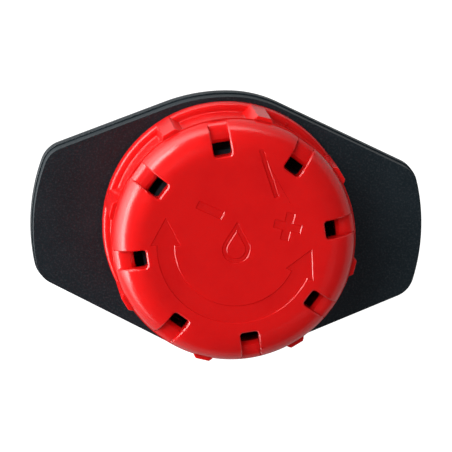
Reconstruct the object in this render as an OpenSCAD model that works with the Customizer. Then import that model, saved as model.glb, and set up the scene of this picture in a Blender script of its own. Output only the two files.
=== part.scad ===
// Adjustable drip emitter: a screw cap with outlet windows on a barbed base with a wing plate.
// Turning the cap lifts a tapered pin out of the water bore, and water leaves by the windows.
// Origin: on the axis, at the underside of the plate. +Z is up, +X runs along the wings.

/* [Wing plate] */
// Length from wing tip to wing tip, which is also the diameter of the bowed ends
plate_len = 24.0; // [21:0.5:30]
// Distance from the axis to the point where two long edges would meet
plate_apex = 8.75; // [8.4:0.05:10.5]
// Angle between a long edge and the wings' axis
edge_slope = 23.2; // [20:0.2:26]
// Thickness of the plate
plate_t = 2.1; // [1.6:0.1:3]
// Height of the moulding line above the plate's underside
split_h = 1.0; // [0.6:0.1:1.2]
// Step at the moulding line, where the two mould halves meet
split_step = 0.1; // [0.05:0.01:0.2]
// Radius that rounds the two middle corners
apex_r = 5.9; // [3:0.1:7]
// Radius that rounds the four wing corners
corner_r = 1.7; // [0.8:0.1:2.4]

/* [Inlet] */
// Length of the inlet below the plate
inlet_len = 14.5; // [12.5:0.5:18]
// Diameter of the water bore
bore_d = 2.3; // [1.8:0.1:2.5]
// Diameter of the inlet between its barbs
neck_d = 3.9; // [3.6:0.1:4.3]
// Length of the neck above the upper barb
neck_len = 3.0; // [2:0.1:4]
// Diameter of the upper barb's crest
barb_d = 5.2; // [4.8:0.1:5.8]
// Diameter of the lower barb's crest
nose_barb_d = 4.7; // [4.4:0.1:4.8]
// Length of the straight land on a barb's crest
barb_land = 1.0; // [0.6:0.1:1.4]
// Length of the taper below the upper barb's land
barb_taper = 2.8; // [2:0.1:3.4]
// Length of the neck between the two barbs
nose_neck_len = 2.0; // [1:0.1:2.4]
// Diameter of the inlet's tip
tip_d = 3.3; // [3.1:0.1:3.6]

/* [Threaded stem] */
// Diameter of the stem at the root of its thread
stem_d = 11.0; // [10:0.1:11.2]
// Wall of the stem around its cup
stem_wall = 1.2; // [0.9:0.1:1.6]
// Diameter of the nozzle that stands in the cup
nozzle_d = 4.6; // [4:0.1:5]
// Drop from the stem's rim to the nozzle's top
nozzle_drop = 0.8; // [0.5:0.1:1.5]
// Thickness of the cup's floor above the plate
cup_floor = 1.0; // [0.6:0.1:2]
// Bevel round the stem's rim
rim_bevel = 0.35; // [0.2:0.05:0.45]
// Bevel where the bore opens into the nozzle, which the pin's disc never touches
seat_bevel = 0.4; // [0.3:0.05:0.5]

/* [Thread] */
// Lift of the cap in one turn
pitch = 1.6; // [1.2:0.1:1.8]
// Height of a thread ridge above its wall
ridge_h = 0.45; // [0.35:0.05:0.5]
// Height of the first ridge piece's middle above the plate
thread_start = 1.35; // [1.2:0.05:1.5]
// How far a ridge's flank leans in from its root to its crest
flank_in = 0.17; // [0.1:0.01:0.2]
// Number of ridge pieces in one turn, with a water groove between each two
ridges_per_turn = 6; // [5:1:8]
// Angle that a water groove leaves open between two ridge pieces
groove_deg = 10; // [6:1:16]
// Ridge pieces on the stem
stem_ridges = 15; // [10:1:16]
// Ridge pieces in the cap
cap_ridges = 10; // [8:1:12]

/* [Cap] */
// Height from the flange's underside to the top
cap_h = 7.3; // [6.8:0.1:9]
// Diameter of the flange ring
flange_d = 15.2; // [14.8:0.1:16]
// Thickness of the flange ring
flange_t = 1.05; // [0.7:0.05:1.5]
// Diameter of the side wall
wall_d = 14.05; // [13.7:0.05:14.3]
// Diameter of the shoulder at its moulding line
shoulder_d = 14.4; // [14.3:0.1:14.8]
// Radius of the rounded shoulder
shoulder_r = 1.9; // [1.5:0.1:2.2]
// Height of the straight lip under the rounded shoulder
lip_t = 0.2; // [0.1:0.05:0.4]
// Thickness of the top
top_t = 1.05; // [0.8:0.05:1.2]
// Diameter over the grip ribs
rib_d = 15.3; // [15:0.1:16]
// Width of a grip rib at its outer face
rib_w = 1.05; // [0.8:0.05:1.4]
// Width that a grip rib gains from its face to the wall, on each side
rib_flare = 0.25; // [0.1:0.05:0.4]

/* [Windows] */
// Number of outlet windows, and of grip ribs between them
windows = 8; // [6:1:10]
// Width of a window
window_w = 1.05; // [0.8:0.05:1.3]
// Distance from the axis to a window's inner edge
window_in = 5.35; // [4.9:0.05:5.6]
// Radius of a window's inner corners
window_r = 0.2; // [0.1:0.05:0.35]
// Drop from the top to the window's sill
sill_drop = 0.95; // [0.8:0.05:1]
// Bevel where the sill turns down into the cavity
sill_bevel = 0.1; // [0.05:0.01:0.15]
// Radius that rounds the sill towards the shoulder's moulding line
sill_r = 1.0; // [0.6:0.05:1.1]
// Angle of the first window from the wings' axis, with the cap closed
window_deg = 10.9; // [0:0.1:44]

/* [Sunk marks] */
// Depth of the marks in the top
mark_depth = 0.12; // [0.08:0.01:0.2]
// Radius of the middle of the turning arrow's band
arrow_r = 4.2; // [3.8:0.1:4.3]
// Width of the turning arrow's band
arrow_w = 1.0; // [0.6:0.1:1.2]
// Angle that the turning arrow's band sweeps
arrow_sweep = 155; // [100:5:160]
// Width of an arrow head
head_w = 1.9; // [1.4:0.1:2]
// Length of an arrow head
head_len = 1.6; // [1:0.1:1.8]
// Size of the plus, and length of the minus
sign_size = 1.6; // [1.2:0.1:1.8]
// Width of a sign's bars
sign_w = 0.45; // [0.3:0.05:0.5]
// Width of a thin line
line_w = 0.22; // [0.16:0.02:0.3]
// Radius of the round end of the drop outline
drop_r = 0.8; // [0.6:0.05:1]
// Length of the index line
index_len = 2.6; // [1.6:0.1:2.8]

/* [Metering pin] */
// Diameter of the pin's disc under the top
pin_disc_d = 4.0; // [3.4:0.1:4.4]
// Thickness of the pin's disc
pin_disc_t = 0.5; // [0.3:0.1:0.6]
// Length of the pin below its disc
pin_len = 5.2; // [4.6:0.1:5.6]
// Diameter of the pin's tip
pin_tip_d = 1.4; // [1.1:0.1:1.7]

/* [Clearances] */
// Between the closed cap's flange and the plate
cap_gap = 0.3; // [0.2:0.05:0.5]
// Between the stem's rim and the closed cap's ceiling
rim_gap = 0.35; // [0.3:0.05:0.6]
// Between a ridge's crest and the wall that faces it
crest_gap = 0.2; // [0.15:0.05:0.25]
// Between facing flanks of the two threads
flank_gap = 0.1; // [0.08:0.01:0.15]
// Between the pin and the bore, on the radius
pin_gap = 0.06; // [0.04:0.01:0.1]

/* [Hidden] */
$fn = 96;
over = 0.5;                                   // overlap of shapes that are one moulding
bond = 0.3;                                   // how deep ridges and ribs reach into their wall
cap_z = plate_t + cap_gap;                    // underside of the flange
top_z = cap_z + cap_h;
ceiling_z = top_z - top_t;
shoulder_z = top_z - shoulder_r;              // moulding line of the cap
stem_r = stem_d / 2;
rim_z = ceiling_z - rim_gap;                  // top of the stem
cup_r = stem_r - stem_wall;
nozzle_z = rim_z - nozzle_drop;
cavity_r = stem_r + ridge_h + crest_gap;      // inside of the cap's wall
mesh_r = (stem_r + cavity_r) / 2;             // where the two threads overlap most
ridge_w = pitch / 2 - flank_gap;              // width of a ridge at mesh_r
lead = atan(pitch / (2 * PI * mesh_r));       // slope of the helix
stem_ridge_z = plate_t + thread_start;        // middle of the stem's first ridge piece
cap_ridge_z = stem_ridge_z + pitch / 2;       // half a pitch on, between the stem's ridges
nose_z = neck_len + barb_land + barb_taper + nose_neck_len;   // depth of the lower barb
seat_r = bore_d / 2 + seat_bevel;             // mouth of the bore in the nozzle
sill_deg = 30;                                // sector that holds one window's sill
arrow_deg = -100.5;                           // middle of the turning arrow
plus_at = [3.0, 1.2];                         // middle of the plus, where the flow opens
minus_at = [-1.65, 2.05];                     // middle of the minus, where the flow closes
index_at = [1.85, 4.25];                      // middle of the index line
sill_proud = 0.03;                            // how far the sill's round would stand out

function flip(p, sx, sy) = [p[0] * sx, p[1] * sy];

// The plate's outline, pulled in all round: straight edges, bowed ends, rounded corners.
module plate_outline(inset) {
    end_r = plate_len / 2 - inset;
    edge = plate_apex * cos(edge_slope) - inset;
    wing_r = corner_r - inset;
    mid_r = apex_r - inset;
    out = [sin(edge_slope), cos(edge_slope)];
    along = [cos(edge_slope), -sin(edge_slope)];
    in = edge - wing_r;
    wing = in * out + sqrt(pow(end_r - wing_r, 2) - in * in) * along;
    mid = [0, (edge - mid_r) / cos(edge_slope)];
    on_edge = wing + wing_r * out;
    on_end = wing * end_r / norm(wing);
    on_mid = mid + mid_r * out;
    polygon([
        on_end, on_edge, on_mid,
        flip(on_mid, -1, 1), flip(on_edge, -1, 1), flip(on_end, -1, 1),
        flip(on_end, -1, -1), flip(on_edge, -1, -1), flip(on_mid, -1, -1),
        flip(on_mid, 1, -1), flip(on_edge, 1, -1), flip(on_end, 1, -1)
    ]);
    for (sx = [-1, 1]) {
        intersection() {
            circle(end_r);
            polygon([[0, 0], 1.5 * flip(on_end, sx, 1), 1.5 * flip(on_end, sx, -1)]);
        }
        for (sy = [-1, 1]) translate(flip(wing, sx, sy)) circle(wing_r);
    }
    for (sy = [-1, 1]) translate(flip(mid, 1, sy)) circle(mid_r);
}

module wing_plate() {
    linear_extrude(split_h) plate_outline(0);
    translate([0, 0, split_h / 2])
        linear_extrude(plate_t - split_h / 2) plate_outline(split_step);
}

module inlet() {
    r = neck_d / 2;
    upper = neck_len + barb_land;
    rotate_extrude() polygon([
        [0, over], [r, over], [r, -neck_len],
        [barb_d / 2, -neck_len], [barb_d / 2, -upper], [r, -upper - barb_taper],
        [r, -nose_z], [nose_barb_d / 2, -nose_z], [nose_barb_d / 2, -nose_z - barb_land],
        [tip_d / 2, -inlet_len], [0, -inlet_len]
    ]);
}

// One piece of a thread ridge, a ring sector on +X tilted to the helix. root is the wall's
// radius, and side is 1 for a ridge that points outwards and -1 for one that points inwards.
module ridge(root, side) {
    span = 360 / ridges_per_turn - groove_deg;
    slope = flank_in / ridge_h;
    to_mesh = mesh_r - stem_r;
    wide = ridge_w / 2 + slope * (to_mesh + bond);
    narrow = ridge_w / 2 - slope * (ridge_h - to_mesh);
    foot = root - side * bond;
    crest = root + side * ridge_h;
    rotate([lead, 0, 0]) rotate([0, 0, -span / 2]) rotate_extrude(angle = span)
        polygon([[foot, -wide], [crest, -narrow], [crest, narrow], [foot, wide]]);
}

// A helix of ridge pieces that starts with a water groove on +X.
module thread(root, side, z, count) {
    step = 360 / ridges_per_turn;
    for (i = [0 : count - 1])
        rotate([0, 0, (i + 0.5) * step]) translate([0, 0, z + i * pitch / ridges_per_turn])
            ridge(root, side);
}

module stem() {
    neck_z = rim_z - rim_bevel;
    translate([0, 0, plate_t - over]) cylinder(r = stem_r, h = neck_z - plate_t + over);
    translate([0, 0, neck_z]) cylinder(r1 = stem_r, r2 = stem_r - rim_bevel, h = rim_bevel);
    thread(stem_r, 1, stem_ridge_z, stem_ridges);
}

module base_body() {
    color([0.12, 0.12, 0.13]) difference() {
        union() {
            wing_plate();
            inlet();
            stem();
        }
        difference() {
            translate([0, 0, plate_t + cup_floor]) cylinder(r = cup_r, h = cap_h);
            cylinder(r = nozzle_d / 2, h = nozzle_z);
        }
        translate([0, 0, -inlet_len - over])
            cylinder(r = bore_d / 2, h = inlet_len + nozzle_z + 2 * over);
        translate([0, 0, nozzle_z - seat_bevel])
            cylinder(r1 = bore_d / 2, r2 = seat_r + seat_bevel, h = 2 * seat_bevel);
    }
}

module metering_pin() {
    disc_z = ceiling_z - pin_disc_t;
    r = bore_d / 2 - pin_gap;
    straight = pin_len / 3;
    color([0.75, 0.09, 0.09]) rotate_extrude() polygon([
        [0, ceiling_z], [pin_disc_d / 2, ceiling_z], [pin_disc_d / 2, disc_z], [r, disc_z],
        [r, disc_z - straight], [pin_tip_d / 2, disc_z - pin_len], [0, disc_z - pin_len]
    ]);
}

// The cap's outside, turned: flange, side wall, and the shoulder that overhangs the wall.
module cap_turned() {
    shoulder = shoulder_d / 2;
    flat = shoulder - shoulder_r;
    translate([0, 0, cap_z]) cylinder(r = flange_d / 2, h = flange_t);
    translate([0, 0, cap_z]) cylinder(r = wall_d / 2, h = shoulder_z - cap_z);
    rotate_extrude() {
        translate([0, shoulder_z - lip_t]) square([flat, shoulder_r + lip_t]);
        translate([0, shoulder_z - lip_t]) square([shoulder, lip_t]);
        intersection() {
            translate([flat, shoulder_z]) circle(shoulder_r);
            translate([flat - over, shoulder_z - lip_t / 2]) square(shoulder_r + over);
        }
    }
}

// One grip rib on +X: a block that narrows outwards, from the flange to the moulding line.
module rib() {
    foot = wall_d / 2 - bond;
    translate([0, 0, cap_z + flange_t / 2]) linear_extrude(shoulder_z - cap_z - flange_t / 2)
        polygon([[foot, -rib_w / 2 - rib_flare], [wall_d / 2, -rib_w / 2 - rib_flare],
                 [rib_d / 2, -rib_w / 2], [rib_d / 2, rib_w / 2],
                 [wall_d / 2, rib_w / 2 + rib_flare], [foot, rib_w / 2 + rib_flare]]);
}

// The sill in section: a bevel towards the cavity, a flat, and a round towards the shoulder.
module sill_profile() {
    top = top_z - sill_drop;
    out = shoulder_d / 2 + sill_proud;
    bevel = max(top_t - sill_drop, 0) + sill_bevel;
    foot = shoulder_z - 2 * over;
    difference() {
        polygon([[cavity_r - over, foot], [out, foot], [out, top],
                 [cavity_r + bevel, top], [cavity_r - over, top - bevel - over]]);
        translate([out - sill_r, top - sill_r]) difference() {
            square(sill_r + over);
            circle(sill_r);
        }
    }
}

// One window on +X: a slot through the top that runs out over a rounded sill.
module window() {
    half = window_w / 2;
    difference() {
        translate([0, 0, shoulder_z - over]) linear_extrude(shoulder_r + 2 * over) {
            translate([window_in + window_r, -half]) square([flange_d / 2, window_w]);
            translate([window_in, window_r - half]) square([over, window_w - 2 * window_r]);
            for (s = [-1, 1])
                translate([window_in + window_r, s * (half - window_r)]) circle(window_r);
        }
        rotate([0, 0, -sill_deg / 2]) rotate_extrude(angle = sill_deg) sill_profile();
    }
}

module drop_outline(r) {
    circle(r);
    polygon([[-r * cos(30), r * sin(30)], [0, 2 * r], [r * cos(30), r * sin(30)]]);
}

module bar(at, turn, length, width) {
    translate(at) rotate(turn) square([length, width], center = true);
}

// Marks sunk in the top: a two-headed turning arrow, a plus, a minus, a drop and an index line.
module marks() {
    half = arrow_sweep / 2;
    translate([0, 0, top_z - mark_depth]) {
        rotate([0, 0, arrow_deg - half]) rotate_extrude(angle = arrow_sweep)
            translate([arrow_r - arrow_w / 2, 0]) square([arrow_w, over]);
        for (s = [-1, 1])
            rotate([0, 0, arrow_deg + s * half]) translate([arrow_r, 0, 0]) linear_extrude(over)
                polygon([[-head_w / 2, 0], [head_w / 2, 0], [0, s * head_len]]);
        linear_extrude(over) {
            for (turn = [-12, 78]) bar(plus_at, turn, sign_size, sign_w);
            bar(minus_at, -23, sign_size, sign_w);
            bar(index_at, -69, index_len, line_w);
            translate([0, -drop_r / 3]) difference() {
                drop_outline(drop_r);
                drop_outline(drop_r - line_w);
            }
        }
    }
}

module cap() {
    step = 360 / windows;
    color([0.8, 0.1, 0.1]) {
        difference() {
            union() {
                cap_turned();
                for (i = [0 : windows - 1]) rotate([0, 0, window_deg + (i + 0.5) * step]) rib();
            }
            translate([0, 0, cap_z - 1]) cylinder(r = cavity_r, h = ceiling_z - cap_z + 1);
            for (i = [0 : windows - 1]) rotate([0, 0, window_deg + i * step]) window();
            marks();
        }
        thread(cavity_r, -1, cap_ridge_z, cap_ridges);
    }
}

base_body();
metering_pin();
cap();
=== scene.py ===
# %% [markdown]
# # An adjustable drip emitter, dressed for its picture
# A drip emitter lets a few litres of water an hour out of a garden pipe. A red screw cap sits on a
# black base with two wings to hold it by. Both are small injection mouldings, so what makes them
# look real is small too: the dome of the cap, chamfers that glint, a parting line where the two
# halves of the mould met, and a fine grain in the black plastic.
#
# The CAD model is loaded first, as the fixed frame. Its box is kept.

# %% Load the frame
import math

import bmesh
import bpy
from mathutils import Matrix, Vector


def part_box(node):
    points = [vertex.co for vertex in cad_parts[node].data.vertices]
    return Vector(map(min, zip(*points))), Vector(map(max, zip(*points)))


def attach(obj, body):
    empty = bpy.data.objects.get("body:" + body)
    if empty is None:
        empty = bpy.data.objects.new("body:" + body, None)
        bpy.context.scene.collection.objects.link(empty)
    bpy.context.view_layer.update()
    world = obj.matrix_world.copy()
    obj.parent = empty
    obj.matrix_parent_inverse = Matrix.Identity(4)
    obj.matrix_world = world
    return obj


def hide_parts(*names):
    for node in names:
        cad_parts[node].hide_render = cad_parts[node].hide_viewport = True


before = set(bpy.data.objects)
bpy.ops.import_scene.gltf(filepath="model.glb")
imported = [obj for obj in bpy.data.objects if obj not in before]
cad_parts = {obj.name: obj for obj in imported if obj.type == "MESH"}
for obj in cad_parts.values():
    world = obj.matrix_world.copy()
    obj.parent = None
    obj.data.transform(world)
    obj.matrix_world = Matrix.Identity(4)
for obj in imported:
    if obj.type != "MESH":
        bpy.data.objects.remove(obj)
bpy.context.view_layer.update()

# %% [markdown]
# ## Sizes
# The heights and outer sizes come from the CAD nodes' boxes. Walls, rounds and clearances are the
# small sizes of the mouldings, in millimetres, as they would stand on the drawing.

# %% Sizes of the cap and the base
MM = 0.001
cap_low, cap_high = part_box("cap")
base_low, base_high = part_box("base_body")
pin_low, pin_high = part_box("metering_pin")

CAP_FOOT = cap_low.z / MM                   # underside of the flange
CAP_TOP = cap_high.z / MM
FLANGE_R = cap_high.x / MM - 0.07
FLANGE_T = 1.05
WALL_R = FLANGE_R - 0.5
SHOULDER_R = FLANGE_R - 0.26                # the shoulder overhangs the side wall a little
DOME_R = 1.9                                # radius of the rounded shoulder
DOME_Z = CAP_TOP - DOME_R                   # the parting line runs round the cap here
TOP_T = 1.05
CEILING = CAP_TOP - TOP_T
CAVITY_R = 6.15
WINDOWS = 8
WINDOW_W = 1.11
WINDOW_IN = 5.35
WINDOW_DEG = 10.9                           # first window, from the wings' axis
SILL_Z = CAP_TOP - 0.95

PLATE_R = base_high.x / MM                  # the bowed ends of the wings
PLATE_T = 2.1
SPLIT_Z = 1.0                               # parting line of the base
RIM_Z = base_high.z / MM                    # rim of the threaded stem
TIP_Z = base_low.z / MM                     # tip of the inlet
STEM_R = 5.5
PITCH = 1.6
STEPS = 288                                 # segments of a full turn
WELD = 0.001 * MM                           # points nearer than this are one point
print("cap", round(CAP_FOOT, 2), "to", round(CAP_TOP, 2), "mm")
print("plate", round(2 * PLATE_R, 2), "mm long")

# %% [markdown]
# ## Tools of the trade
# A few helpers draw almost everything. `chain` draws a wire by extruding one vertex from point to
# point. `lathe` spins such a wire round the upright axis. `pull` fills a closed one and extrudes
# it, and `prism` is a pull straight up. `carve` cuts or joins with a Boolean modifier, and
# `chamfer` bevels just the sharp edges that a test picks by their place.

# %% Helpers that draw
def deselect_all():
    if bpy.context.object and bpy.context.object.mode != "OBJECT":
        bpy.ops.object.mode_set(mode="OBJECT")
    bpy.ops.object.select_all(action="DESELECT")


def activate(obj):
    deselect_all()
    obj.select_set(True)
    bpy.context.view_layer.objects.active = obj
    return obj


def edit(obj):
    activate(obj)
    bpy.ops.object.mode_set(mode="EDIT")
    bpy.ops.mesh.select_all(action="SELECT")
    return obj


def chain(name, points):
    """A wire through the points, in millimetres. It is left in edit mode."""
    deselect_all()
    bpy.ops.mesh.primitive_plane_add(size=MM)
    obj = bpy.context.object
    obj.name = name
    bpy.ops.object.mode_set(mode="EDIT")
    bpy.ops.mesh.select_mode(type="VERT")
    bpy.ops.mesh.merge(type="CENTER")
    bpy.ops.transform.translate(value=Vector(points[0]) * MM)
    for a, b in zip(points, points[1:]):
        step = (Vector(b) - Vector(a)) * MM
        bpy.ops.mesh.extrude_region_move(TRANSFORM_OT_translate={"value": step})
    return obj


def close_up():
    """Welds the points, fills the holes and turns the faces outwards."""
    bpy.ops.mesh.select_all(action="SELECT")
    bpy.ops.mesh.remove_doubles(threshold=WELD)
    bpy.ops.mesh.fill_holes(sides=0)
    bpy.ops.mesh.select_all(action="SELECT")
    bpy.ops.mesh.normals_make_consistent(inside=False)
    bpy.ops.object.mode_set(mode="OBJECT")


def lathe(name, profile, steps=STEPS):
    """The profile, a list of (radius, height), spun round the upright axis and closed."""
    obj = chain(name, [(r, 0, z) for r, z in profile])
    bpy.ops.mesh.select_all(action="SELECT")
    bpy.ops.mesh.spin(steps=steps, angle=2 * math.pi, center=(0, 0, 0), axis=(0, 0, 1))
    close_up()
    return obj


def pull(name, outline, way):
    """A closed outline of points, filled and pulled the given way, in millimetres."""
    obj = chain(name, [*outline, outline[0]])
    bpy.ops.mesh.select_all(action="SELECT")
    bpy.ops.mesh.remove_doubles(threshold=WELD)
    bpy.ops.mesh.edge_face_add()
    move = tuple(x * MM for x in way)
    bpy.ops.mesh.extrude_region_move(TRANSFORM_OT_translate={"value": move})
    close_up()
    return obj


def prism(name, outline, low, high):
    """The outline, a list of (x, y), pulled up from one height to another."""
    return pull(name, [(x, y, low) for x, y in outline], (0, 0, high - low))


def arc(centre, radius, start, end, count):
    """Points on an arc, from start to end degrees, both ends included."""
    turns = [math.radians(start + (end - start) * i / count) for i in range(count + 1)]
    return [(centre[0] + radius * math.cos(t), centre[1] + radius * math.sin(t)) for t in turns]


# %% Helpers that place, cut and finish
def settle(obj, turn=0.0, at=(0, 0, 0), tilt=0.0):
    """Tilts about X, turns about Z and moves a piece, all put into its mesh."""
    activate(obj)
    place = Matrix.Translation(Vector(at) * MM) @ Matrix.Rotation(math.radians(turn), 4, "Z")
    obj.matrix_world = place @ Matrix.Rotation(math.radians(tilt), 4, "X")
    bpy.ops.object.transform_apply(location=True, rotation=True, scale=True)
    return obj


def copy_of(obj, name):
    activate(obj)
    bpy.ops.object.duplicate()
    bpy.context.object.name = name
    return bpy.context.object


def join(pieces):
    """Joins the pieces into the first of them."""
    activate(pieces[0])
    for piece in pieces:
        piece.select_set(True)
    bpy.ops.object.join()
    return pieces[0]


def carve(body, tool, operation="DIFFERENCE"):
    """Cuts the tool out of the body, or joins it on, and uses the tool up."""
    activate(body)
    bpy.ops.object.modifier_add(type="BOOLEAN")
    cut = body.modifiers[-1]
    cut.operation, cut.object, cut.solver = operation, tool, "EXACT"
    bpy.ops.object.modifier_apply(modifier=cut.name)
    bpy.data.objects.remove(tool)


def pick_edges(obj, wanted):
    """Selects, in edit mode, the edges that the test wants, and says how many."""
    edit(obj)
    bpy.ops.mesh.select_mode(type="EDGE")
    bpy.ops.mesh.select_all(action="DESELECT")
    mesh = bmesh.from_edit_mesh(obj.data)
    picked = [e for e in mesh.edges if wanted(e)]
    for e in picked:
        e.select_set(True)
    bmesh.update_edit_mesh(obj.data)
    return len(picked)


def middle(e):
    """The middle of an edge, in millimetres."""
    return (e.verts[0].co + e.verts[1].co) / (2 * MM)


SHARP = math.radians(35)


def is_sharp(e):
    return len(e.link_faces) == 2 and e.calc_face_angle(0) > SHARP


def chamfer(obj, width, where, segments=1):
    """Bevels the sharp edges whose middle, in millimetres, passes the test."""
    count = pick_edges(obj, lambda e: is_sharp(e) and where(middle(e)))
    if count:
        bpy.ops.mesh.bevel(
            offset=width * MM, segments=segments, profile=0.5, affect="EDGES",
            clamp_overlap=False, loop_slide=False,
        )
    bpy.ops.object.mode_set(mode="OBJECT")
    return count


def finish_surface(obj, angle):
    """Smooth shading inside the given angle, with big faces kept flat."""
    activate(obj)
    bpy.ops.object.shade_smooth_by_angle(angle=math.radians(angle))
    bpy.ops.object.modifier_add(type="WEIGHTED_NORMAL")
    obj.modifiers[-1].keep_sharp = True
    bpy.ops.object.modifier_apply(modifier=obj.modifiers[-1].name)


def open_edges(obj):
    """How many edges do not lie between exactly two faces."""
    mesh = bmesh.new()
    mesh.from_mesh(obj.data)
    count = sum(len(e.link_faces) != 2 for e in mesh.edges)
    mesh.free()
    return count


# %% [markdown]
# ## The cap, turned
# The real cap comes out of a mould, but nearly all of it is round, so it is drawn as a turned
# shell first: flat top, domed shoulder, a thin lip where the parting line runs, the side wall, a
# small fillet, and the flange ring. The inside follows in the same wire, so wall and ceiling have
# their real thickness and the shell is closed.

# %% Spin the cap's shell
TOP_FLAT_R = 5.2
FILLET = 0.12                               # between the side wall and the flange
FLANGE_ROUND = 0.32                         # upper edge of the flange
FLANGE_EASE = 0.1                           # lower edge of the flange
LIP = 0.035                                 # how far the lip stands out under the dome
LEAD_IN = 0.2                               # bevel at the mouth of the cavity
CAVITY_ROUND = 0.25                         # between the cavity's wall and its ceiling
dome_in = SHOULDER_R - DOME_R
flange_top = CAP_FOOT + FLANGE_T
lip_r = SHOULDER_R + LIP
round_r, round_z = FLANGE_R - FLANGE_ROUND, flange_top - FLANGE_ROUND

cap_profile = [(0, CAP_TOP), (TOP_FLAT_R, CAP_TOP)]
cap_profile += arc((dome_in, DOME_Z), DOME_R, 90, 0, 18)
cap_profile += [
    (lip_r, DOME_Z - 0.02), (lip_r, DOME_Z - 0.06),
    (SHOULDER_R, DOME_Z - 0.08), (SHOULDER_R, DOME_Z - 0.2), (WALL_R, DOME_Z - 0.26),
]
cap_profile += arc((WALL_R + FILLET, flange_top + FILLET), FILLET, 180, 270, 5)
cap_profile += arc((round_r, round_z), FLANGE_ROUND, 90, 0, 6)
cap_profile += arc((FLANGE_R - FLANGE_EASE, CAP_FOOT + FLANGE_EASE), FLANGE_EASE, 0, -90, 2)
cap_profile += [(CAVITY_R + LEAD_IN, CAP_FOOT), (CAVITY_R, CAP_FOOT + LEAD_IN)]
cap_profile += arc((CAVITY_R - CAVITY_ROUND, CEILING - CAVITY_ROUND), CAVITY_ROUND, 0, 90, 4)
cap_profile += [(0, CEILING)]

cap = lathe("screw_cap_shell", cap_profile)
print("turned cap:", len(cap.data.polygons), "faces,", open_edges(cap), "open edges")

# %% [markdown]
# The windows and marks will be cut into this skin and then chamfered. A bevel runs clean only
# where the other edges meet it squarely, and the spun lines would meet a window's sides at a
# slant. So the lines that cross a window are dissolved first, and the flat top becomes one face.

# %% Clear the skin where windows and marks are cut
CLEAR_HALF = 0.9                            # half the width of the strip that is cleared
WINDOW_STEP = 360 / WINDOWS


def window_frame(point):
    """The nearest window's own (outward, sideways) place of a point, in millimetres."""
    turn = math.degrees(math.atan2(point.y, point.x)) - WINDOW_DEG
    off = math.radians((turn + WINDOW_STEP / 2) % WINDOW_STEP - WINDOW_STEP / 2)
    reach = math.hypot(point.x, point.y)
    return reach * math.cos(off), reach * math.sin(off)


def crosses_window(e):
    """Whether an edge of the dome runs up past a window, or round the dome's first rings."""
    a, b = (v.co / MM for v in e.verts)
    ra, rb = math.hypot(a.x, a.y), math.hypot(b.x, b.y)
    if min(a.z, b.z) < DOME_Z - 0.01 or min(ra, rb) < TOP_FLAT_R - 0.01:
        return False
    if any(abs(window_frame(p)[1]) >= CLEAR_HALF for p in (a, b)):
        return False
    runs_round = abs(ra - rb) < 0.005
    return not runs_round or dome_in - 0.01 < ra < dome_in + 0.18


def is_top(f):
    return f.normal.z > 0.999 and abs(f.calc_center_median().z / MM - CAP_TOP) < 0.001


edit(cap)
bpy.ops.mesh.select_mode(type="FACE")
bpy.ops.mesh.select_all(action="DESELECT")
skin = bmesh.from_edit_mesh(cap.data)
for face in skin.faces:
    reach = max(math.hypot(v.co.x, v.co.y) for v in face.verts) / MM
    face.select_set(is_top(face) and reach < TOP_FLAT_R + 0.01)
bmesh.update_edit_mesh(cap.data)
bpy.ops.mesh.dissolve_faces()
bpy.ops.object.mode_set(mode="OBJECT")
crossing = pick_edges(cap, crosses_window)
bpy.ops.mesh.dissolve_edges(use_verts=False)
bpy.ops.object.mode_set(mode="OBJECT")
print("dissolved", crossing, "edges;", len(cap.data.polygons), "faces left")

# %% [markdown]
# ## Grip ribs
# Eight ribs on the side wall give the fingers a hold. Each is a plain block that runs from the
# flange up to the parting line, a little wider at its foot so that it leaves the mould. One is
# drawn between two windows and copied round, and all are joined to the shell at once.

# %% Add the ribs
RIB_R = 7.56
RIB_W = 1.05
RIB_FLARE = 0.25                            # how much wider a rib is at its foot, each side
RIB_BEVEL = 0.12                            # upright edges of a rib's face
RIB_BOND = 0.3                              # how deep a rib reaches into the wall
RIB_TOP = DOME_Z - 0.05
rib_half = RIB_W / 2
rib_foot = rib_half + RIB_FLARE
rib_outline = [
    (WALL_R - RIB_BOND, -rib_foot), (WALL_R, -rib_foot),
    (RIB_R - RIB_BEVEL, -rib_half), (RIB_R, -rib_half + RIB_BEVEL),
    (RIB_R, rib_half - RIB_BEVEL), (RIB_R - RIB_BEVEL, rib_half),
    (WALL_R, rib_foot), (WALL_R - RIB_BOND, rib_foot),
]
rib = prism("grip_rib", rib_outline, CAP_FOOT + FLANGE_T / 2, RIB_TOP)
chamfer(rib, 0.05, lambda m: m.z > RIB_TOP - 0.01 and m.x > WALL_R - 0.1, segments=2)
ribs = [copy_of(rib, f"grip_rib_{i}") for i in range(WINDOWS)]
for i, piece in enumerate(ribs):
    settle(piece, turn=WINDOW_DEG + WINDOW_STEP * (i + 0.5))
bpy.data.objects.remove(rib)
carve(cap, join(ribs), "UNION")
print("with ribs:", len(cap.data.polygons), "faces,", open_edges(cap), "open edges")

# %% [markdown]
# ## Outlet windows
# Water leaves through eight square notches in the shoulder. Each is a slot with rounded inner
# corners, open to the cavity, that runs out over a sill. The tool for one is the side view of what
# is missing, pulled sideways to the window's width. One is drawn, and copies are turned to all
# eight places.

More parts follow.
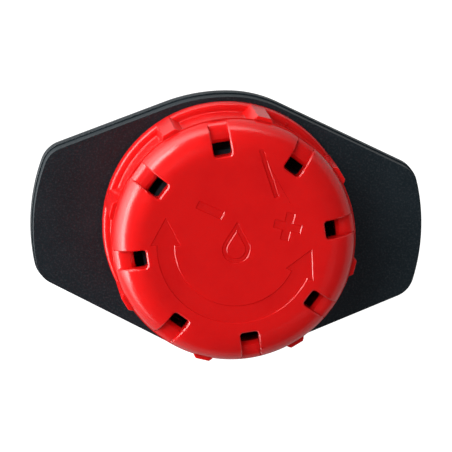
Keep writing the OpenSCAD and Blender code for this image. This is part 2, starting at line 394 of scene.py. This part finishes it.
# %% Draw the window tools
SILL_R = 1.0
WINDOW_CORNER = 0.2
CLEAR = 1                                   # how far the tools stand out of the cap
sill_out = SHOULDER_R + 0.03
tool_out, tool_top = SHOULDER_R + CLEAR, CAP_TOP + CLEAR
window_side = [(WINDOW_IN, CEILING - 0.6), (WINDOW_IN, tool_top), (tool_out, tool_top)]
window_side += [(tool_out, SILL_Z - SILL_R)]
window_side += arc((sill_out - SILL_R, SILL_Z - SILL_R), SILL_R, 0, 90, 10)
window_side += [(CAVITY_R - 0.3, SILL_Z - 0.38)]
window_tool = pull(
    "window_tool", [(x, -WINDOW_W / 2, z) for x, z in window_side], (0, WINDOW_W, 0)
)


def inner_upright(e):
    upright = abs(e.verts[0].co.z - e.verts[1].co.z) > 0.5 * MM
    return upright and abs(middle(e).x - WINDOW_IN) < 0.01


pick_edges(window_tool, inner_upright)
bpy.ops.mesh.bevel(
    offset=WINDOW_CORNER * MM, segments=4, profile=0.5, affect="EDGES", clamp_overlap=False
)
bpy.ops.object.mode_set(mode="OBJECT")

window_tools = [copy_of(window_tool, f"window_tool_{i}") for i in range(WINDOWS)]
for i, tool in enumerate(window_tools):
    settle(tool, turn=WINDOW_DEG + WINDOW_STEP * i)
bpy.data.objects.remove(window_tool)
print(len(window_tools), "window tools")

# %% [markdown]
# ## Marks in the top
# Marks sunk in the top say which way to turn: a two-headed arrow, a plus, a minus and an index
# line. The middle carries a plain drop. In the steel they are small raised islands with drafted
# sides, so in the part their walls catch the light on the side that faces it.

# %% Draw the marks
MARK_DEPTH = 0.07
ARROW_R, ARROW_W, ARROW_MID, ARROW_SWEEP = 4.2, 1.0, -100.5, 155
HEAD_W, HEAD_LEN = 1.7, 1.6
SIGN, SIGN_W = 1.6, 0.45
INDEX_LEN = 2.98
DROP_R, LINE_W = 0.8, 0.22
PLUS_AT, MINUS_AT, INDEX_AT = (3.0, 1.2), (-1.65, 2.05), (1.72, 4.36)


def turned(points, degrees, at=(0, 0)):
    """Points turned about the origin and then moved."""
    c, s = math.cos(math.radians(degrees)), math.sin(math.radians(degrees))
    return [(at[0] + c * x - s * y, at[1] + s * x + c * y) for x, y in points]


def box_outline(length, width):
    x, y = length / 2, width / 2
    return [(-x, -y), (x, -y), (x, y), (-x, y)]


def mark(name, outline, depth=MARK_DEPTH):
    return prism(name, outline, CAP_TOP - depth, CAP_TOP + 0.5)


first, last = ARROW_MID - ARROW_SWEEP / 2, ARROW_MID + ARROW_SWEEP / 2
head_out, head_in = (ARROW_R + HEAD_W / 2, 0), (ARROW_R - HEAD_W / 2, 0)
arrow_outline = arc((0, 0), ARROW_R + ARROW_W / 2, first, last, 62)
arrow_outline += turned([head_out, (ARROW_R, HEAD_LEN), head_in], last)
arrow_outline += arc((0, 0), ARROW_R - ARROW_W / 2, last, first, 62)
arrow_outline += turned([head_in, (ARROW_R, -HEAD_LEN), head_out], first)
a, b = SIGN / 2, SIGN_W / 2
plus_outline = [(a, -b), (a, b), (b, b), (b, a), (-b, a), (-b, b)]
plus_outline += [(-a, b), (-a, -b), (-b, -b), (-b, -a), (b, -a), (b, -b)]


def drop(r):
    """A drop with a round end of the given radius and a point above it."""
    outline = arc((0, 0), r, 150, 390, 40) + [(0, 2 * r)]
    return turned(outline, 0, (0, -DROP_R / 3))


drop_ring = mark("mark_drop", drop(DROP_R))
drop_core = prism("mark_drop_core", drop(DROP_R - LINE_W), CAP_TOP - 0.5, CAP_TOP + 1)
carve(drop_ring, drop_core)
marks = [
    mark("mark_arrow", arrow_outline),
    mark("mark_plus", turned(plus_outline, -12, PLUS_AT)),
    mark("mark_minus", turned(box_outline(SIGN, SIGN_W), -23, MINUS_AT)),
    mark("mark_index", turned(box_outline(INDEX_LEN, LINE_W), -69, INDEX_AT), 2 * MARK_DEPTH),
    drop_ring,
]
print([tool.name for tool in marks])

# %% [markdown]
# ## Cut, then chamfer
# Windows and marks are cut in one go. The mould left a small chamfer round each, and it is what
# glints in the light.

# %% Cut windows and marks
RIM_CHAMFER = 0.075
MARK_CHAMFER = 0.05
carve(cap, join(window_tools + marks))
print("cut cap:", len(cap.data.polygons), "faces,", open_edges(cap), "open edges")


def on_window_rim(m):
    """Whether a point lies where a window's side or inner end meets the skin."""
    out, side = window_frame(m)
    if m.z < DOME_Z + 0.25 or out < WINDOW_IN - 0.05:
        return False
    inner = out < WINDOW_IN + 0.22 and m.z > CAP_TOP - 0.05
    flank = abs(abs(side) - WINDOW_W / 2) < 0.02
    reach = math.hypot(m.x, m.y) - dome_in
    surface = DOME_Z + math.sqrt(max(DOME_R**2 - max(reach, 0) ** 2, 0))
    return (inner or flank) and abs(m.z - surface) < 0.04


edit(cap)
bpy.ops.mesh.remove_doubles(threshold=0.012 * MM)
rims = chamfer(cap, RIM_CHAMFER, on_window_rim)
print("chamfered", rims, "window edges;", open_edges(cap), "open edges")

edit(cap)
bpy.ops.mesh.remove_doubles(threshold=0.006 * MM)
marked = chamfer(
    cap, MARK_CHAMFER, lambda m: abs(m.z - CAP_TOP) < 0.012 and m.xy.length < TOP_FLAT_R + 0.05
)
print("softened", marked, "mark edges;", open_edges(cap), "open edges")

# %% [markdown]
# ## Flash on the parting line
# Where the two halves of the mould meet, a little plastic creeps between them. It stays on the
# cap as a paper-thin fin that catches the light. It is a turned ring with a sharp edge, sunk into
# the shoulder's foot.

# %% Add the flash
FLASH = 0.07                                # how far the fin stands out
flash_root = SHOULDER_R - 0.06
flash_profile = [(flash_root, DOME_Z - 0.015), (SHOULDER_R + FLASH, DOME_Z - 0.045)]
flash_profile += [(flash_root, DOME_Z - 0.075), flash_profile[0]]
flash = lathe("flash", flash_profile)
join([cap, flash])
print("cap with flash:", open_edges(cap), "open edges")

# %% [markdown]
# ## A pip on the flange
# A speck of plastic stands on the flange, where the mould had a tiny chip. Such a pip is a small
# flattened ball that is half sunk in the flange.

# %% Add the pip
PIP_R = 0.1
PIP_FLAT = 0.7                              # its height as a share of its width
PIP_AT = (3.34, 6.38, flange_top)
deselect_all()
bpy.ops.mesh.primitive_uv_sphere_add(segments=24, ring_count=12, radius=PIP_R * MM)
pip = edit(bpy.context.object)
bpy.ops.transform.resize(value=(1, 1, PIP_FLAT))
bpy.ops.object.mode_set(mode="OBJECT")
settle(pip, at=PIP_AT)
join([cap, pip])
print("cap with pip:", open_edges(cap), "open edges")

# %% [markdown]
# ## Spare vertices
# Dissolving the lines beside the windows left vertices on the rings that have only two edges. The
# faces on both sides of such a vertex can be split along the same line when they are turned into
# triangles, and then four faces share an edge. So these vertices are dissolved as well.

# %% Dissolve the spare vertices
edit(cap)
bpy.ops.mesh.select_mode(type="VERT")
bpy.ops.mesh.select_all(action="DESELECT")
skin = bmesh.from_edit_mesh(cap.data)
spare = [v for v in skin.verts if len(v.link_edges) == 2]
for v in spare:
    v.select_set(True)
bmesh.update_edit_mesh(cap.data)
bpy.ops.mesh.dissolve_verts()
bpy.ops.object.mode_set(mode="OBJECT")
print("dissolved", len(spare), "spare vertices;", open_edges(cap), "open edges")

# %% [markdown]
# ## Thread and metering pin
# The cap climbs on a coarse thread made of short ridges, so water can pass between them. One
# ridge is drawn as part of a turned ring, tilted by the thread's lead and copied along the helix.
# The tapered pin under the ceiling closes the bore when the cap is down.

# %% Thread ridges
CAVITY_MESH_R = (STEM_R + CAVITY_R) / 2
LEAD = math.degrees(math.atan(PITCH / (2 * math.pi * CAVITY_MESH_R)))
RIDGE_H = 0.45
RIDGE_W = PITCH / 2 - 0.1                   # the rest is the play between the flanks
RIDGE_BOND = 0.2                            # how deep a ridge reaches into its wall
FLANK_IN = 0.17                             # how far a flank leans in towards the crest
PER_TURN = 6
GROOVE_DEG = 10                             # the gap that water passes between two ridges
RIDGE_DEG = 360 / PER_TURN - GROOVE_DEG
STEM_RIDGE_Z = PLATE_T + 1.35
CAP_RIDGES, STEM_RIDGES = 10, 15


def ridge_ring(name, root, side):
    """One ridge centred on +X at height 0: side is 1 outwards and -1 inwards."""
    foot, crest = root - side * RIDGE_BOND, root + side * RIDGE_H
    wide, narrow = RIDGE_W / 2, RIDGE_W / 2 - FLANK_IN
    profile = [(foot, -wide), (crest, -narrow), (crest, narrow), (foot, wide)]
    obj = chain(name, [(r, 0, z) for r, z in profile + profile[:1]])
    bpy.ops.mesh.select_all(action="SELECT")
    bpy.ops.mesh.remove_doubles(threshold=WELD)
    bpy.ops.transform.rotate(
        value=math.radians(RIDGE_DEG / 2), orient_axis="Z", orient_type="GLOBAL",
        center_override=(0, 0, 0),
    )
    bpy.ops.mesh.edge_face_add()
    bpy.ops.mesh.select_mode(type="FACE")
    bpy.ops.mesh.spin(steps=16, angle=math.radians(RIDGE_DEG), center=(0, 0, 0), axis=(0, 0, 1))
    bpy.ops.mesh.select_mode(type="VERT")
    bpy.ops.mesh.select_all(action="SELECT")
    bpy.ops.mesh.normals_make_consistent(inside=False)
    bpy.ops.object.mode_set(mode="OBJECT")
    return obj


def thread(name, root, side, z, count):
    """Ridges copied up a right-handed helix that starts at height z."""
    ridge = ridge_ring(name + "_ridge", root, side)
    ridges = []
    for i in range(count):
        turn = 360 / PER_TURN * (i + 0.5)
        climb = z + PITCH * i / PER_TURN
        ridges.append(settle(copy_of(ridge, f"{name}_{i}"), turn=turn, at=(0, 0, climb), tilt=LEAD))
    bpy.data.objects.remove(ridge)
    whole = join(ridges)
    whole.name = name
    return whole


cap_thread = thread("cap_thread", CAVITY_R, -1, STEM_RIDGE_Z + PITCH / 2, CAP_RIDGES)
print("cap thread:", len(cap_thread.data.polygons), "faces,", open_edges(cap_thread), "open edges")

# %% Metering pin
DISC_R, DISC_T = 2.0, 0.5
PIN_TIP_R, TIP_BEVEL = 0.7, 0.15
pin_tip = pin_low.z / MM
disc_foot = CEILING - DISC_T
pin_profile = [(0, CEILING), (DISC_R, CEILING), (DISC_R, disc_foot), (1.25, disc_foot)]
pin_profile += [(1.09, CEILING - 0.72), (PIN_TIP_R, pin_tip + TIP_BEVEL)]
pin_profile += [(PIN_TIP_R - TIP_BEVEL, pin_tip), (0, pin_tip)]
pin = lathe("tapered_pin", pin_profile, steps=96)
print("pin:", round(pin_high.z / MM - pin_tip, 2), "mm long")

# %% [markdown]
# ## The base moulding
# The wing plate is a long hexagon with bowed ends. Its mould opened half way up the edge, and the
# two halves never match quite, which leaves a small step. So the plate is drawn as two slabs, the
# upper one a tenth of a millimetre smaller all round.

# %% Draw the wing plate
CORNER_R = 1.7
SPLIT_STEP = 0.1
SLAB_OVERLAP = 0.3                          # how deep the upper slab stands in the lower one
PLATE_OFF = (0.22, -0.3)                    # the wings sit a little off the stem's axis
# Each quarter: side in X, side in Y, slope of its long edge, height where that edge would meet
# the middle, height of the rounded middle. A real wing plate is never quite symmetrical.
QUARTERS = [
    (1, 1, 23.4, 8.78, 8.15), (-1, 1, 22.8, 9.04, 8.15),
    (-1, -1, 25.3, 8.95, 8.2), (1, -1, 24.6, 8.95, 8.2),
]


def quarter_outline(slope_deg, apex, crown, inset):
    """From the wing's end to the middle: bowed end, corner, straight edge, rounded middle."""
    slope = math.radians(slope_deg)
    end_r = PLATE_R - inset
    edge = apex * math.cos(slope) - inset
    wing_r = CORNER_R - inset
    mid_r = (apex - crown) / (1 / math.cos(slope) - 1) - inset
    out = Vector((math.sin(slope), math.cos(slope)))
    along = Vector((math.cos(slope), -math.sin(slope)))
    inward = edge - wing_r
    wing = inward * out + math.sqrt((end_r - wing_r) ** 2 - inward**2) * along
    mid = (0, (edge - mid_r) / math.cos(slope))
    wing_turn = math.degrees(math.atan2(wing.y, wing.x))
    quarter = arc((0, 0), end_r, 0, wing_turn, 16)
    quarter += arc(wing, wing_r, wing_turn, 90 - slope_deg, 12)[1:]
    return quarter + arc(mid, mid_r, 90 - slope_deg, 90, 12)


def plate_outline(inset):
    """All four quarters, pulled in all round and moved to the plate's place."""
    outline = []
    for side_x, side_y, slope_deg, apex, crown in QUARTERS:
        quarter = quarter_outline(slope_deg, apex, crown, inset)
        quarter = [(side_x * x, side_y * y) for x, y in quarter]
        outline += (quarter if side_x * side_y > 0 else quarter[::-1])[:-1]
    return turned(outline, 0, PLATE_OFF)


plate = prism("wing_plate", plate_outline(0), 0, SPLIT_Z)
upper = prism("wing_plate_upper", plate_outline(SPLIT_STEP), SPLIT_Z - SLAB_OVERLAP, PLATE_T)
chamfer(plate, 0.12, lambda m: m.z < 0.01, segments=3)
chamfer(plate, 0.03, lambda m: m.z > SPLIT_Z - 0.01)
chamfer(upper, 0.035, lambda m: m.z > PLATE_T - 0.01, segments=3)
carve(plate, upper, "UNION")
print("plate:", len(plate.data.polygons), "faces,", open_edges(plate), "open edges")

# %% [markdown]
# ## Stem, nozzle and inlet
# Everything round on the base lies on one axis: the inlet with its two barbs, which is pushed into
# a punched hole of the garden pipe, the bore, the nozzle that the pin closes, the cup and the
# threaded stem. It is one turned profile with the bore left open from end to end.

# %% Turn the stem and inlet
BORE_R, NECK_R, BARB_R, NOSE_BARB_R = 1.15, 1.95, 2.6, 2.35
NECK_LEN, BARB_LAND, BARB_TAPER, NOSE_NECK = 3.0, 1.0, 2.8, 2.0
ROOT_R = 0.35                               # round between the neck and the plate
STEM_FOOT = 0.4                             # the stem starts inside the plate
RIM_BEVEL, SEAT_BEVEL = 0.35, 0.4
CUP_R, NOZZLE_R = STEM_R - 1.2, 2.3
CUP_FLOOR = PLATE_T + 1.0
NOZZLE_Z = RIM_Z - 0.8
barb_z = -NECK_LEN
taper_z = barb_z - BARB_LAND
nose_z = taper_z - BARB_TAPER - NOSE_NECK

# Tip and lower barb.
stem_profile = [(BORE_R, TIP_Z), (1.55, TIP_Z), (1.65, TIP_Z + 0.12)]
stem_profile += [(NOSE_BARB_R - 0.05, nose_z - 0.7), (NOSE_BARB_R, nose_z - 0.6)]
stem_profile += [(NOSE_BARB_R, nose_z - 0.04), (NOSE_BARB_R - 0.04, nose_z), (NECK_R, nose_z)]
# Upper barb and neck.
stem_profile += [(NECK_R, taper_z - BARB_TAPER), (BARB_R - 0.03, taper_z - 0.05)]
stem_profile += [(BARB_R, taper_z), (BARB_R, barb_z - 0.05), (BARB_R - 0.05, barb_z)]
stem_profile += [(NECK_R, barb_z), (NECK_R, -ROOT_R)]
stem_profile += arc((NECK_R + ROOT_R, -ROOT_R), ROOT_R, 180, 90, 4)[1:]
# Stem, cup, nozzle and the mouth of the bore.
stem_profile += [(NECK_R + ROOT_R, STEM_FOOT), (STEM_R, STEM_FOOT)]
stem_profile += [(STEM_R, RIM_Z - RIM_BEVEL), (STEM_R - RIM_BEVEL, RIM_Z), (CUP_R, RIM_Z)]
stem_profile += [(CUP_R, CUP_FLOOR), (NOZZLE_R, CUP_FLOOR), (NOZZLE_R, NOZZLE_Z)]
stem_profile += [(BORE_R + SEAT_BEVEL, NOZZLE_Z), (BORE_R, NOZZLE_Z - SEAT_BEVEL)]
stem = lathe("threaded_stem", [*stem_profile, stem_profile[0]], steps=144)
carve(plate, stem, "UNION")
plate.name = "base_moulding"
stem_thread = thread("stem_thread", STEM_R, 1, STEM_RIDGE_Z, STEM_RIDGES)
print("base:", len(plate.data.polygons), "faces,", open_edges(plate), "open edges")
print("inlet reaches to", round(TIP_Z, 2), "mm")

# %% [markdown]
# ## Join the pieces to the frame
# Each piece rides on the CAD body that it belongs to and stands for its node, so the joints move
# it exactly as they move the CAD.

# %% Ride, replace, shade
CAP_SMOOTH, SMOOTH = 20, 32                  # the cap's small chamfers need the lower angle
for piece, body, node, finish in (
    (cap, "screw_cap", "cap", "red_plastic"),
    (cap_thread, "screw_cap", "cap", "red_plastic"),
    (pin, "pin_carrier", "metering_pin", "red_plastic"),
    (plate, "base", "base_body", "black_plastic"),
    (stem_thread, "base", "base_body", "black_plastic"),
):
    finish_surface(piece, CAP_SMOOTH if piece is cap else SMOOTH)
    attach(piece, body)
    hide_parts(node)
    print(piece.name, "rides", body, "with", len(piece.data.polygons), "faces")

# %% [markdown]
# ## Plastic, close up
# Two effects are shared by both plastics, so each is a node group. `grain` is the fine texture that
# the mould's steel leaves, with its size in millimetres: a height, and a mask of its pits, where a
# fleck colour goes; on the black base that fleck colour is a painted glint. `handling` is the slow
# waviness and the rubbed patches that a cheap moulding has, as two masks.

# %% Helpers for nodes
def new_group(name, sockets_in, sockets_out):
    group = bpy.data.node_groups.new(name, "ShaderNodeTree")
    for label, default in sockets_in:
        socket = group.interface.new_socket(label, in_out="INPUT", socket_type="NodeSocketFloat")
        socket.default_value = default
    for label in sockets_out:
        group.interface.new_socket(label, in_out="OUTPUT", socket_type="NodeSocketFloat")
    return group


def add(tree, kind, **values):
    node = tree.nodes.new(kind)
    for key, value in values.items():
        setattr(node, key, value)
    return node


def wire(tree, a, b):
    tree.links.new(a, b)


def ranged(tree, value, source=(0, 1), target=(0, 1)):
    """Maps a value from one range to another, and keeps it inside."""
    node = add(tree, "ShaderNodeMapRange")
    node.inputs["From Min"].default_value, node.inputs["From Max"].default_value = source
    node.inputs["To Min"].default_value, node.inputs["To Max"].default_value = target
    wire(tree, value, node.inputs["Value"])
    return node


def object_place(tree, size_mm):
    """The Object coordinates, and the scale that gives a pattern its size in millimetres."""
    place = add(tree, "ShaderNodeTexCoord")
    per_m = add(tree, "ShaderNodeMath", operation="DIVIDE")
    per_m.inputs[0].default_value = 1 / MM
    wire(tree, size_mm, per_m.inputs[1])
    return place.outputs["Object"], per_m.outputs[0]


def texture(tree, kind, place, scale, **values):
    node = add(tree, kind, **values)
    wire(tree, place, node.inputs["Vector"])
    wire(tree, scale, node.inputs["Scale"])
    return node


# %% The grain
grain = new_group("grain", [("Size mm", 0.1), ("Contrast", 0.5)], ["Height", "Flecks and glints"])
given, made = add(grain, "NodeGroupInput"), add(grain, "NodeGroupOutput")
place, scale = object_place(grain, given.outputs["Size mm"])
cells = texture(grain, "ShaderNodeTexVoronoi", place, scale, feature="SMOOTH_F1")
fine = texture(grain, "ShaderNodeTexNoise", place, scale)
fine.inputs["Detail"].default_value = 3
mixed = add(grain, "ShaderNodeMix", data_type="FLOAT")
wire(grain, given.outputs["Contrast"], mixed.inputs[0])
wire(grain, fine.outputs["Fac"], mixed.inputs[2])
wire(grain, cells.outputs["Distance"], mixed.inputs[3])
wire(grain, mixed.outputs[0], made.inputs["Height"])
# Mask of the grain's pits for the fleck colour: painted glints on the black base, only a slight
# change of tone on the red cap.
fleck_and_glint_mask = ranged(grain, fine.outputs["Fac"], source=(0.5, 0.72))
wire(grain, fleck_and_glint_mask.outputs["Result"], made.inputs["Flecks and glints"])
print("grain:", len(grain.nodes), "nodes")

# %% The marks of handling
handling = new_group("handling", [("Wave mm", 3.0)], ["Wave", "Rub"])
given, made = add(handling, "NodeGroupInput"), add(handling, "NodeGroupOutput")
place, scale = object_place(handling, given.outputs["Wave mm"])
slow = texture(handling, "ShaderNodeTexNoise", place, scale)
slow.inputs["Detail"].default_value = 1
wire(handling, slow.outputs["Fac"], made.inputs["Wave"])
rubbed = texture(handling, "ShaderNodeTexNoise", place, scale)
rubbed.inputs["Detail"].default_value = 6
rubbed.inputs["Roughness"].default_value = 0.65
rub = ranged(handling, rubbed.outputs["Fac"], source=(0.45, 0.7))
wire(handling, rub.outputs["Result"], made.inputs["Rub"])
print("node groups:", [g.name for g in bpy.data.node_groups])

# %% [markdown]
# ## The two plastics
# The cap is glossy red polypropylene: the light goes a little way in, and its skin is slightly
# wavy. The base is matt black, with a sparked grain of about a tenth of a millimetre, which spreads
# the light of the sky into a soft grey; lighter flecks on the grain's pits add painted glints.

# %% Materials
def tint(tree, factor, first, second):
    """Mixes two colours, where the first may be a socket."""
    node = add(tree, "ShaderNodeMix", data_type="RGBA")
    wire(tree, factor, node.inputs[0])
    if isinstance(first, tuple):
        node.inputs[6].default_value = (*first, 1)
    else:
        wire(tree, first, node.inputs[6])
    node.inputs[7].default_value = (*second, 1)
    return node.outputs[2]


def bumped(tree, height, height_mm, normal=None):
    node = add(tree, "ShaderNodeBump")
    node.inputs["Distance"].default_value = height_mm * MM
    wire(tree, height, node.inputs["Height"])
    if normal:
        wire(tree, normal, node.inputs["Normal"])
    return node.outputs["Normal"]


def plastic(name, colour, worn, fleck_and_glint, rough, grain_mm, contrast, grain_bump, wave_mm, wave_bump):
    """A moulded plastic. Colours are linear, sizes and bump heights in millimetres."""
    material = bpy.data.materials.new(name)
    material.use_nodes = True
    tree = material.node_tree
    skin = tree.nodes["Principled BSDF"]
    fine_grain = add(tree, "ShaderNodeGroup", node_tree=grain)
    fine_grain.inputs["Size mm"].default_value = grain_mm
    fine_grain.inputs["Contrast"].default_value = contrast
    wear = add(tree, "ShaderNodeGroup", node_tree=handling)
    wear.inputs["Wave mm"].default_value = wave_mm

    tone = tint(tree, wear.outputs["Rub"], colour, worn)
    # The fleck colour goes on the grain's pits: on the black base it is lighter, a painted glint;
    # on the red cap it is only a slight change of tone.
    flecked_and_glinted = tint(tree, fine_grain.outputs["Flecks and glints"], tone, fleck_and_glint)
    wire(tree, flecked_and_glinted, skin.inputs["Base Color"])
    shine = ranged(tree, wear.outputs["Rub"], target=rough)
    wire(tree, shine.outputs["Result"], skin.inputs["Roughness"])
    swell = bumped(tree, wear.outputs["Wave"], wave_bump)
    relief = bumped(tree, fine_grain.outputs["Height"], grain_bump, swell)
    wire(tree, relief, skin.inputs["Normal"])
    print(name, "grain", grain_mm, "mm, roughness", rough)
    return material, skin


red, red_skin = plastic(
    "red_plastic_skin",
    colour=(0.66, 0.007, 0.007), worn=(0.60, 0.005, 0.006), fleck_and_glint=(0.62, 0.009, 0.009),
    rough=(0.20, 0.27), grain_mm=0.12, contrast=0.2, grain_bump=0.0012,
    wave_mm=2.5, wave_bump=0.03,
)
red_skin.inputs["Subsurface Weight"].default_value = 0.35
red_skin.inputs["Subsurface Radius"].default_value = (1.0, 0.05, 0.04)
red_skin.inputs["Subsurface Scale"].default_value = 0.9 * MM
black, black_skin = plastic(
    "black_plastic_skin",
    # The lighter fleck colour is a painted glint on the grain's pits.
    colour=(0.009, 0.015, 0.019), worn=(0.012, 0.019, 0.024), fleck_and_glint=(0.030, 0.037, 0.042),
    rough=(0.42, 0.50), grain_mm=0.11, contrast=0.5, grain_bump=0.05,
    wave_mm=3.0, wave_bump=0.02,
)
black_skin.inputs["Specular IOR Level"].default_value = 0.38
for piece, material in (
    (cap, red), (cap_thread, red), (pin, red), (plate, black), (stem_thread, black),
):
    piece.data.materials.clear()
    piece.data.materials.append(material)
    print(piece.name, "is", material.name)

# %% [markdown]
# ## Floor and light
# The floor stands for the white sheet of a catalogue picture: it glows plain white to the camera,
# and towards the cap it glows as a painted pool of the main light's spill, brighter on the main
# light's side. The main softbox is long and low at the left, so it draws a soft band along the
# cap's shoulder. The room gives an even light from above and hardly any from the right.

# %% Floor
deselect_all()
FLOOR_Z = TIP_Z * MM - 0.5 * MM             # just under the inlet's tip
KEY_SIDE = math.radians(152)                # main light's side, counted from +X towards +Y
bpy.ops.mesh.primitive_plane_add(size=2.0, location=(0, 0, FLOOR_Z))
floor = bpy.context.object
floor.name = "floor"
paper = bpy.data.materials.new("white_paper")
paper.use_nodes = True
paper_tree = paper.node_tree
paper_skin = paper_tree.nodes["Principled BSDF"]
paper_skin.inputs["Base Color"].default_value = (0.25, 0.25, 0.25, 1)
paper_skin.inputs["Roughness"].default_value = 0.9
paper_skin.inputs["Emission Color"].default_value = (1, 1, 1, 1)
# Painted light: for every ray but the camera's, the floor glows as a painted pool of the main
# light's spill, brighter towards the main light's side.
seen = add(paper_tree, "ShaderNodeLightPath")
glow = ranged(paper_tree, seen.outputs["Is Camera Ray"])
spill_place = add(paper_tree, "ShaderNodeTexCoord")
spill_along = add(paper_tree, "ShaderNodeVectorMath", operation="DOT_PRODUCT")
spill_along.inputs[1].default_value = (math.cos(KEY_SIDE), math.sin(KEY_SIDE), 0)
wire(paper_tree, spill_place.outputs["Object"], spill_along.inputs[0])
painted_key_spill = ranged(paper_tree, spill_along.outputs["Value"], source=(0.025, 0.07), target=(0.1, 3.5))
wire(paper_tree, painted_key_spill.outputs["Result"], glow.inputs["To Min"])
wire(paper_tree, glow.outputs["Result"], paper_skin.inputs["Emission Strength"])
floor.data.materials.append(paper)
print("floor at", round(FLOOR_Z / MM, 2), "mm")

# %% Light
CAP_MIDDLE = Vector((0, 0, 6 * MM))


def softbox(name, azimuth, elevation, distance, width, height, power, mirrored=True):
    """An area light that looks at the cap. Azimuth is counted from +X towards +Y, in degrees."""
    az, el = math.radians(azimuth), math.radians(elevation)
    away = Vector((math.cos(az) * math.cos(el), math.sin(az) * math.cos(el), math.sin(el)))
    deselect_all()
    bpy.ops.object.light_add(type="AREA", location=CAP_MIDDLE + distance * away)
    lamp = bpy.context.object
    lamp.name = name
    lamp.data.shape = "RECTANGLE"
    lamp.data.size, lamp.data.size_y = width, height
    lamp.data.energy = power
    lamp.rotation_euler = away.to_track_quat("Z", "Y").to_euler()
    lamp.visible_glossy = mirrored
    print(name, "of", power, "W")


softbox("key_strip", math.degrees(KEY_SIDE) + 18, 5, 0.4, 0.78, 0.11, 2.8)
softbox("high_sheet", 140, 52, 0.5, 0.3, 0.25, 2.1, mirrored=False)
softbox("right_sheet", -35, 50, 0.5, 0.3, 0.25, 0.9, mirrored=False)
world = bpy.data.worlds.new("studio")
bpy.context.scene.world = world
world.use_nodes = True
sky = world.node_tree.nodes["Background"]
sky.inputs["Color"].default_value = (1, 1, 1, 1)
sky.inputs["Strength"].default_value = 0.06
bpy.context.scene.view_settings.view_transform = "Standard"

# %% [markdown]
# ## Camera
# The camera looks down at the cap from 11.6 degrees off the vertical and from far away, as for a
# catalogue picture of a small thing, so the cap's far side shows a little of its wall. It is
# turned: its own right, up and back are worked out first, and then made its rotation.

# %% Camera
TILT = math.radians(11.6)
DISTANCE = 260 * MM
SENSOR = 36
VIEW_WIDTH = 27.7                           # what the view takes in at the cap, in millimetres
aim = Vector((0.19, -0.43, 1.0)) * MM
toward = Vector((-0.483, 0.875, 0)).normalized()
eye = aim + DISTANCE * (math.sin(TILT) * toward + math.cos(TILT) * Vector((0, 0, 1)))
roll = math.radians(2.7)
up_hint = Vector((-math.sin(roll), math.cos(roll), 0))
back = (eye - aim).normalized()
right = up_hint.cross(back).normalized()
up = back.cross(right)
deselect_all()
bpy.ops.object.camera_add(location=eye)
camera = bpy.context.object
camera.rotation_euler = Matrix((right, up, back)).transposed().to_euler()
camera.data.sensor_width = SENSOR
camera.data.lens = SENSOR * DISTANCE / (VIEW_WIDTH * MM)
camera.data.clip_start, camera.data.clip_end = 0.01, 10
bpy.context.scene.camera = camera
print("camera", round(DISTANCE / MM), "mm away, lens", round(camera.data.lens, 1), "mm")

# %% [markdown]
# ## Close
# The scene is brought up to date at the end.

# %% Finish
bpy.context.view_layer.update()
